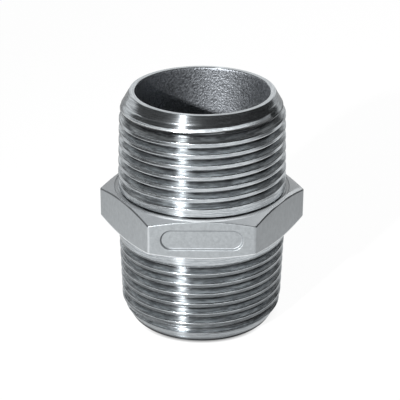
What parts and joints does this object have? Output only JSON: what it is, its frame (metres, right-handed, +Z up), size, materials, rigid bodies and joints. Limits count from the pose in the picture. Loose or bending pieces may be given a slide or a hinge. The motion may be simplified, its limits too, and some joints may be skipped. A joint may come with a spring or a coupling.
{
  "type": "hex nipple",
  "caption": "Stainless steel hex nipple pipe fitting: a wrench hexagon between two male taper-threaded ends, with a straight bore right through.",
  "frame": {"origin": "centre of the lower end face, on the bore's axis", "axes": "+Z up the bore; the flat with the marking panel faces -Y, and +X is to the right as that flat is looked at"},
  "size_m": [0.0408, 0.0356, 0.048],
  "materials": {
    "cast_steel": "satin, as cast and blasted",
    "turned_steel": "bright, turned in fine rings"
  },
  "bodies": {
    "root": {"hex_collar": "cast_steel", "upper_threaded_end": "turned_steel", "lower_threaded_end": "turned_steel"}
  },
  "joints": []
}
